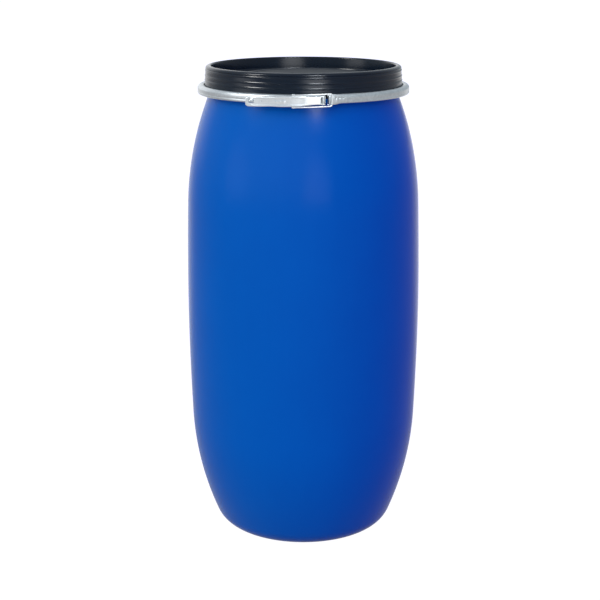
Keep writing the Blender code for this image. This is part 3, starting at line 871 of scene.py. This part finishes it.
def lid():
    """The lid, with radial ribs under its moat."""
    made = turned("lid_moulding", lid_outline())
    ribs = bmesh.new()
    rib_top = MOAT_Z - LID_SKIN / 2
    rib_in, rib_out = MOAT_IN_R - RIB_PAST_MOAT, PLUG_R - LID_SKIN / 2
    section = rectangle(rib_in, rib_out, rib_top - RIB_HEIGHT, rib_top)
    for i in range(LID_RIBS):
        angle = 360 / LID_RIBS * (i + 0.5)
        rib = along_ring("rib", [(angle - RIB_HALF_TURN, section), (angle + RIB_HALF_TURN, section)])
        ribs.from_mesh(rib.data)
        bpy.data.objects.remove(rib, do_unlink=True)
    combine(made, [finish("ribs", ribs)], "UNION")
    made.data.shade_smooth()
    made.data.set_sharp_from_angle(angle=math.radians(32))
    return made


def lid_seal():
    """The seal in its groove, rounder on the side that meets the body's rim."""
    outer, inner = SEAL_HIGH.x, SEAL_HIGH.x - SEAL_WIDTH
    low, high = SEAL_LOW.z, SEAL_HIGH.z
    corners = [
        (inner, low, SEAL_FILLET),
        (outer, low, SEAL_FILLET),
        (outer, high, SEAL_GROOVE_FILLET),
        (inner, high, SEAL_GROOVE_FILLET),
    ]
    return turned("seal_strip", rounded(corners, closed=True))


# ---------------------------------------------------------------------------------------------------------
# Ring and closure


def band_section():
    """The channel's section: two lips, a web that is rounder at its top, and one long groove."""
    low, high = BAND_BOTTOM + BAND_LOW_CORNER, BAND_TOP - BAND_HIGH_CORNER
    groove_z = BAND_BOTTOM + GROOVE_RISE
    bend = BAND_LIP_DROP * BAND_LIP_BEND
    path = [(BAND_LIP_R, BAND_BOTTOM + BAND_LIP_DROP), (BAND_LIP_R + BAND_LOW_LIP_FLAT, BAND_BOTTOM + bend)]
    path += arc((BAND_R - BAND_LOW_CORNER, low), BAND_LOW_CORNER, -90, -4, 8)
    for z in spread(low, high, BAND_WEB_STEP):
        dip = GROOVE_DEPTH * math.exp(-(((z - groove_z) / GROOVE_WIDTH) ** 2))
        path.append((BAND_R - dip, z))
    path += arc((BAND_R - BAND_HIGH_CORNER, high), BAND_HIGH_CORNER, 4, 90, 12)
    path += [(BAND_LIP_R + BAND_HIGH_LIP_FLAT, BAND_TOP - bend), (BAND_LIP_R, BAND_TOP - BAND_LIP_DROP)]
    return thicken(path, BAND_SHEET)


def clamp_band():
    section = band_section()
    return along_ring("ring_channel", [(a, section) for a in spread(*BAND_ENDS, BAND_STEP)])


def weld_dents(angles, radius, z):
    """Cutters for shallow round spot-weld dents."""
    return [radial_stud("dent", a, radius, z, DENT_RINGS) for a in angles]


def fulcrum_bracket():
    """The plate welded to the ring's left end, with the knuckle that the lever's pin turns in."""
    plate_in = BAND_R + PART_GAP
    plate_out = plate_in + PLATE_SHEET
    bottom, top = BAND_BOTTOM + FULCRUM_PLATE_RISE, BAND_TOP - FULCRUM_PLATE_DROP
    plate = block("fulcrum_plate", FULCRUM_PLATE_ANGLES, plate_in, plate_out, bottom, top)
    half = LEVER_NOSE_HALF - LEVER_SHEET - PART_GAP
    low, high = FULCRUM.z - half, FULCRUM.z + half
    neck_angles = (FULCRUM_ANGLE - FULCRUM_NECK_HALF_TURN, FULCRUM_ANGLE + FULCRUM_NECK_HALF_TURN)
    neck_out = PIN_CIRCLE_R - FULCRUM_NECK_SHORT
    neck = block("neck", neck_angles, plate_in + OVERLAP, neck_out, low, high, 0.5)
    barrel = upright("barrel", FULCRUM.x, FULCRUM.y, [(KNUCKLE_R, low), (KNUCKLE_R, high)])
    combine(plate, [neck, barrel], "UNION")
    drill_rings = [(BORE_R, low - DRILL_PAST), (BORE_R, high + DRILL_PAST)]
    drill = upright("drill", FULCRUM.x, FULCRUM.y, drill_rings)
    dents = weld_dents(FULCRUM_DENTS, plate_out, BAND_TOP - FULCRUM_DENTS_DROP)
    combine(plate, [drill] + dents, "DIFFERENCE")
    return soften(plate, PLATE_EDGE)


def lever_half(angle):
    """Half the lever's height, smoothly between its stations."""
    for (a, low), (b, high) in zip(LEVER_STATIONS, LEVER_STATIONS[1:]):
        if angle <= b:
            share = (angle - a) / (b - a)
            return low + (high - low) * (smooth(share) if b - a > 3 else share)
    return LEVER_NOSE_HALF


def pressing(angle, across):
    """How far the lever's web is pressed in: a long panel inside a raised border, with three low bosses."""
    near_tip = smooth((angle - PRESSING_START) / PRESSING_FADE_IN)
    near_nose = smooth((PRESSING_END - angle) / PRESSING_FADE_OUT)
    sides = smooth((PRESSING_SIDE - abs(across)) / PRESSING_SIDE_FADE)
    depth = PRESSING_DEPTH * near_tip * near_nose * sides
    for boss in BOSS_ANGLES:
        away = math.hypot((angle - boss) / BOSS_TURN, across / BOSS_SHARE)
        depth -= BOSS_HEIGHT * smooth(BOSS_REACH - away)
    return depth


def lever_section(angle):
    """The lever's U-section at an angle: two flanges and a pressed web, with rounded folds."""
    half = lever_half(angle)
    centre = closure_z(angle)
    lift = TIP_LIFT * max(0.0, 1 - (angle - LEVER_STATIONS[0][0]) / TIP_TURN)
    inner, outer = LEVER_IN_R + lift, LEVER_OUT_R + lift
    fold_r, web_half = outer - LEVER_FOLD, half - LEVER_FOLD
    path = [(inner, centre - half), (inner + LEVER_LIP, centre - half)]
    path += arc((fold_r, centre - half + LEVER_FOLD), LEVER_FOLD, -90, 0, 5)
    for share in spread(-1, 1, LEVER_WEB_STEP)[1:-1]:
        height = share * web_half
        path.append((outer - pressing(angle, height / half), centre + height))
    path += arc((fold_r, centre + half - LEVER_FOLD), LEVER_FOLD, 0, 90, 5)
    path += [(inner + LEVER_LIP, centre + half), (inner, centre + half)]
    return thicken(path, LEVER_SHEET)


def lever_ear(side):
    """A rounded ear that carries a flange of the lever past its web to the fulcrum."""
    middle = FULCRUM.z + side * (LEVER_NOSE_HALF - LEVER_SHEET / 2)
    low, high = middle - LEVER_SHEET / 2, middle + LEVER_SHEET / 2
    ear = upright("ear", FULCRUM.x, FULCRUM.y, [(EAR_R, low), (EAR_R, high)])
    reach = EAR_R * EAR_SHARE
    angles = (LEVER_WEB_END - EAR_OVERLAP_TURN, FULCRUM_ANGLE)
    bridge = block("bridge", angles, PIN_CIRCLE_R - reach, PIN_CIRCLE_R + reach, low, high)
    return combine(ear, [bridge], "UNION")


def closing_lever():
    """The pressed lever, with two ears at the fulcrum, its bores, the seal tab's slot and a small hole."""
    stations = spread(LEVER_STATIONS[0][0], LEVER_WEB_END, LEVER_STEP)
    lever = along_ring("lever_pressing", [(a, lever_section(a)) for a in stations])
    combine(lever, [lever_ear(1), lever_ear(-1)], "UNION")
    turn = math.degrees(SLOT_LENGTH / 2 / LEVER_OUT_R)
    slot_z = closure_z(SLOT_ANGLE) + SLOT_LIFT
    low, high = slot_z - SLOT_HEIGHT / 2, slot_z + SLOT_HEIGHT / 2
    slot_angles = (SLOT_ANGLE - turn, SLOT_ANGLE + turn)
    slot = block("slot", slot_angles, LEVER_IN_R, LEVER_OUT_R + SLOT_CUT_PAST, low, high)
    cutters = [soften(slot, SLOT_FILLET, 3)]
    for spot in (FULCRUM, LINK_PIN):
        rings = [(BORE_R, spot.z - LEVER_DRILL_REACH), (BORE_R, spot.z + LEVER_DRILL_REACH)]
        cutters.append(upright("drill", spot.x, spot.y, rings))
    hole_z = closure_z(HOLE_ANGLE) + HOLE_LIFT
    hole_rings = [(HOLE_R, -HOLE_REACH), (HOLE_R, HOLE_REACH)]
    cutters.append(radial_stud("hole", HOLE_ANGLE, LEVER_OUT_R, hole_z, hole_rings))
    combine(lever, cutters, "DIFFERENCE")
    return soften(lever, LEVER_EDGE)


def tension_link():
    """A strap bent into a U round the lever. Its path is drawn in the unrolled plane of the pin circle."""
    centre_half = LINK_INNER_HALF + LINK_SHEET / 2
    start = math.radians(LINK_PIN_ANGLE) * PIN_CIRCLE_R
    bar = math.radians(LINK_BAR_ANGLE) * PIN_CIRCLE_R
    half_width = LINK_WIDTH / 2
    ends = [half_width * math.cos(math.radians(t)) for t in LINK_END_TURNS]
    lead = [(start - e, -centre_half) for e in ends]
    bend = arc((bar - LINK_BEND, -centre_half + LINK_BEND), LINK_BEND, -90, 0, 8)
    arm = [(s, -centre_half) for s in spread(start, bar - LINK_BEND, LINK_STEP)[:-1]]
    lower = lead + arm + bend
    straight = centre_half - LINK_BEND
    middle = [(bar, h) for h in spread(-straight, straight, LINK_STEP)[1:-1]]
    path = lower + middle + [(s, -h) for s, h in lower[::-1]]
    loops = []
    for i, (s, h) in enumerate(path):
        near, far = path[max(0, i - 1)], path[min(len(path) - 1, i + 1)]
        along = Vector((far[0] - near[0], far[1] - near[1])).normalized()
        side = Vector((-along.y, along.x)) * LINK_SHEET / 2
        width = math.sqrt(max(0.0, half_width**2 - min(0.0, s - start) ** 2))
        loop = []
        for share, reach in ((1, -1), (1, 1), (-1, 1), (-1, -1)):
            angle = math.degrees((s + side.x * share) / PIN_CIRCLE_R)
            height = closure_z(angle) + h + side.y * share
            loop.append(around(angle, PIN_CIRCLE_R + reach * width, height))
        loops.append(loop)
    link = swept("link_strap", loops)
    cutters = []
    for side in (-1, 1):
        middle_z = LINK_PIN.z + side * centre_half
        rings = [(BORE_R, middle_z - LINK_DRILL_REACH), (BORE_R, middle_z + LINK_DRILL_REACH)]
        cutters.append(upright("drill", LINK_PIN.x, LINK_PIN.y, rings))
    combine(link, cutters, "DIFFERENCE")
    return soften(link, LINK_EDGE, 3)


def hook_bracket():
    """The plate welded to the ring's right end, which narrows to the ring's height, and its upright lip."""
    plate_in = BAND_R + PART_GAP
    plate_out = plate_in + PLATE_SHEET
    taper_start, taper_end = HOOK_TAPER
    centre = closure_z(taper_start)
    wide_low, wide_high = centre - HOOK_WIDE_HALF, centre + HOOK_WIDE_HALF
    narrow_low, narrow_high = BAND_BOTTOM + HOOK_PLATE_RISE, BAND_TOP - HOOK_PLATE_DROP
    stations = []
    for angle in spread(HOOK_LIP_ANGLES[0], HOOK_END, 0.4):
        share = smooth((angle - taper_start) / (taper_end - taper_start))
        low = wide_low + (narrow_low - wide_low) * share
        high = wide_high + (narrow_high - wide_high) * share
        stations.append((angle, rectangle(plate_in, plate_out, low, high)))
    plate = along_ring("hook_plate", stations)
    middle = closure_z(HOOK_LIP_ANGLES[0])
    low, high = middle - HOOK_LIP_HALF, middle + HOOK_LIP_HALF
    lip = block("lip", HOOK_LIP_ANGLES, plate_in + OVERLAP, HOOK_LIP_OUT_R, low, high, 0.35)
    combine(plate, [soften(lip, HOOK_LIP_FILLET, 3)], "UNION")
    dents_z = closure_z(HOOK_DENTS_LEVEL) + HOOK_DENTS_LIFT
    combine(plate, weld_dents(HOOK_DENTS, plate_out, dents_z), "DIFFERENCE")
    return soften(plate, PLATE_EDGE)


def seal_tab():
    """The eye that stands through the lever's slot, on a shoulder that nearly fills the slot."""
    foot_in = BAND_R + PART_GAP
    angle = SLOT_ANGLE + TAB_OFFSET
    centre = closure_z(angle) + SLOT_LIFT

    def bar(name, half_length, at_radius, r_in, r_out, half):
        """A curved bar of the tab about its middle, as long as twice the half length at a radius."""
        turn = math.degrees(half_length / at_radius)
        return block(name, (angle - turn, angle + turn), r_in, r_out, centre - half, centre + half)

    foot = bar("tab_foot", TAB_FOOT_HALF_LENGTH, BAND_R, foot_in, foot_in + PLATE_SHEET, TAB_FOOT_HALF)
    root, blade_out = foot_in + OVERLAP, LEVER_OUT_R + TAB_BLADE_REACH
    blade = bar("blade", TAB_BLADE_HALF_LENGTH, LEVER_OUT_R, root, blade_out, TAB_BLADE_HALF)
    shoulder_out = LEVER_OUT_R - TAB_SHOULDER_DROP
    shoulder_half_length = TAB_SHOULDER_LENGTH / 2
    shoulder = bar("shoulder", shoulder_half_length, LEVER_OUT_R, root, shoulder_out, TAB_SHOULDER_HALF)
    x, y, _ = around(angle, LEVER_OUT_R + TAB_EYE_REACH, 0)
    eye_reach = TAB_BLADE_HALF + DRILL_PAST
    eye = upright("eye", x, y, [(TAB_EYE_R, centre - eye_reach), (TAB_EYE_R, centre + eye_reach)], 24)
    rounded_blade = soften(blade, TAB_BLADE_FILLET, 3, 60)
    combine(foot, [rounded_blade, soften(shoulder, TAB_SHOULDER_FILLET, 3)], "UNION")
    combine(foot, [eye], "DIFFERENCE")
    return soften(foot, TAB_EDGE)


def rivet(name, spot, reach):
    """A riveted pin with a domed, slightly dimpled head at each end."""
    neck = reach + PART_GAP
    crown = HEAD_HEIGHT - HEAD_EDGE
    turns = [math.radians(t) for t in HEAD_TURNS]
    dome = [(HEAD_R * math.cos(t), neck + HEAD_EDGE + crown * math.sin(t)) for t in turns]
    dimple = (HEAD_R * HEAD_DIMPLE_R, neck + HEAD_HEIGHT * HEAD_DIMPLE_HEIGHT)
    half = [(PIN_R, neck), (HEAD_R - HEAD_EDGE, neck)] + dome + [dimple]
    rings = [(r, spot.z - z) for r, z in half[::-1]] + [(r, spot.z + z) for r, z in half]
    return upright(name, spot.x, spot.y, rings)


# ---------------------------------------------------------------------------------------------------------
# Studio


def sun(name, azimuth, elevation, strength, size, colour, draws):
    """A distant light at an azimuth from the front. It draws either "shading" or "highlights"."""
    data = bpy.data.lights.new(name, "SUN")
    data.energy = strength
    data.angle = math.radians(size)
    data.color = colour
    data.use_shadow = draws == "shading"
    lamp = bpy.data.objects.new(name, data)
    lamp.visible_diffuse = draws == "shading"
    lamp.visible_glossy = draws == "highlights"
    level = math.cos(math.radians(elevation))
    from_x, from_y, _ = around(azimuth, level, 0)
    direction = Vector((-from_x, -from_y, -math.sin(math.radians(elevation))))
    lamp.rotation_euler = direction.to_track_quat("-Z", "Y").to_euler()
    bpy.context.scene.collection.objects.link(lamp)
    return lamp


def studio_world():
    """Light from all round: one part lights surfaces, one is mirrored, and the camera sees plain white."""
    world = bpy.data.worlds.new("studio")
    world.use_nodes = True
    tree = world.node_tree
    background = tree.nodes["Background"]
    coords = add(tree, "ShaderNodeTexCoord")
    split = add(tree, "ShaderNodeSeparateXYZ", {0: coords.outputs["Generated"]})
    side = remap(tree, split.outputs["X"], *SIDE_SPAN, 0.0, 1.0)
    ambient = blend_colours(tree, side, AMBIENT_LEFT, AMBIENT_RIGHT)
    rise = remap(tree, split.outputs["Z"], *AMBIENT_TOP_SPAN, 0.0, 1.0)
    ambient = blend_colours(tree, rise, ambient, AMBIENT_TOP)
    wall = blend_colours(tree, side, ROOM_LEFT, ROOM_RIGHT)
    front = remap(tree, split.outputs["Y"], *ROOM_FRONT_SPAN, 0.0, 1.0)
    wall = blend_colours(tree, front, wall, ROOM_FRONT)
    inputs = {0: coords.outputs["Generated"], 1: SWEEP_MIDDLE}
    lean = add(tree, "ShaderNodeVectorMath", inputs, operation="DOT_PRODUCT").outputs["Value"]
    wall = blend_colours(tree, remap(tree, lean, *SWEEP_SPAN, 0.0, 1.0), wall, SWEEP)
    above = remap(tree, split.outputs["Z"], *TOP_PANEL_SPAN, 0.0, 1.0)
    wall = blend_colours(tree, above, wall, TOP_PANEL)
    for azimuth, colour in SOFTBOXES:
        facing = {0: coords.outputs["Generated"], 1: around(azimuth, 1, SOFTBOX_RISE)}
        lean = add(tree, "ShaderNodeVectorMath", facing, operation="DOT_PRODUCT").outputs["Value"]
        wall = blend_colours(tree, remap(tree, lean, *SOFTBOX_SPAN, 0.0, 1.0), wall, colour)
    path = add(tree, "ShaderNodeLightPath")
    room = blend_colours(tree, path.outputs["Is Glossy Ray"], ambient, wall)
    room = blend_colours(tree, path.outputs["Is Camera Ray"], room, (1.0, 1.0, 1.0))
    tree.links.new(room, background.inputs["Color"])
    bpy.context.scene.world = world


def studio():
    """The floor, the lights and the plain way that colours are shown."""
    bpy.ops.mesh.primitive_circle_add(vertices=96, radius=FLOOR_R, fill_type="NGON", location=(0, 0, 0))
    floor = bpy.context.object
    floor.name = "floor"
    floor.data.materials.append(studio_floor())
    sun("left_wall", -26, 9, 1.80, 80, (0.98, 1.0, 0.94), "shading")
    sun("key", -68, 38, 1.6, 15, (1.0, 0.99, 0.96), "highlights")
    sun("fill", 17, 40, 1.9, 14, (0.90, 0.95, 1.0), "highlights")
    studio_world()
    view = bpy.context.scene.view_settings
    view.view_transform = "Standard"
    view.look = "None"


def camera():
    """The photo's view: from the front, a little above the lid."""
    data = bpy.data.cameras.new("camera")
    data.angle = math.radians(FIELD_OF_VIEW)
    made = bpy.data.objects.new("camera", data)
    made.location = (0, -CAMERA_BACK, CAMERA_HEIGHT)
    made.rotation_euler = (math.radians(90 - CAMERA_PITCH), 0, math.radians(CAMERA_YAW))
    bpy.context.scene.collection.objects.link(made)
    bpy.context.scene.camera = made


def main():
    blue = blue_plastic()
    black = black_plastic()
    galvanised = zinc("galvanised_steel", (0.52, 0.55, 0.57), (0.66, 0.69, 0.71), 0.28, 0.36, 260.0, 0.45)
    bright = zinc("bright_zinc", (0.82, 0.85, 0.86), (0.90, 0.92, 0.93), 0.27, 0.34, 420.0, 0.15)
    plated = zinc("plated_pin", (0.68, 0.70, 0.72), (0.86, 0.87, 0.88), 0.20, 0.30, 900.0, 0.30)
    place(drum_body(), "drum", "drum_body", blue)
    place(lid(), "lid", "lid", black)
    place(lid_seal(), "lid", "lid_seal", foam_rubber())
    place(clamp_band(), "ring", "clamp_band", galvanised)
    place(fulcrum_bracket(), "ring", "fulcrum_bracket", galvanised)
    place(hook_bracket(), "ring", "hook_bracket", galvanised)
    place(seal_tab(), "ring", "seal_tab", galvanised)
    place(closing_lever(), "lever", "closing_lever", bright)
    place(tension_link(), "link", "tension_link", bright)
    place(rivet("fulcrum_rivet", FULCRUM, LEVER_NOSE_HALF), "ring", "fulcrum_pin", plated)
    link_reach = LINK_INNER_HALF + LINK_SHEET
    place(rivet("link_rivet", LINK_PIN, link_reach), "lever", "link_pin", plated)
    camera()
    studio()


main()
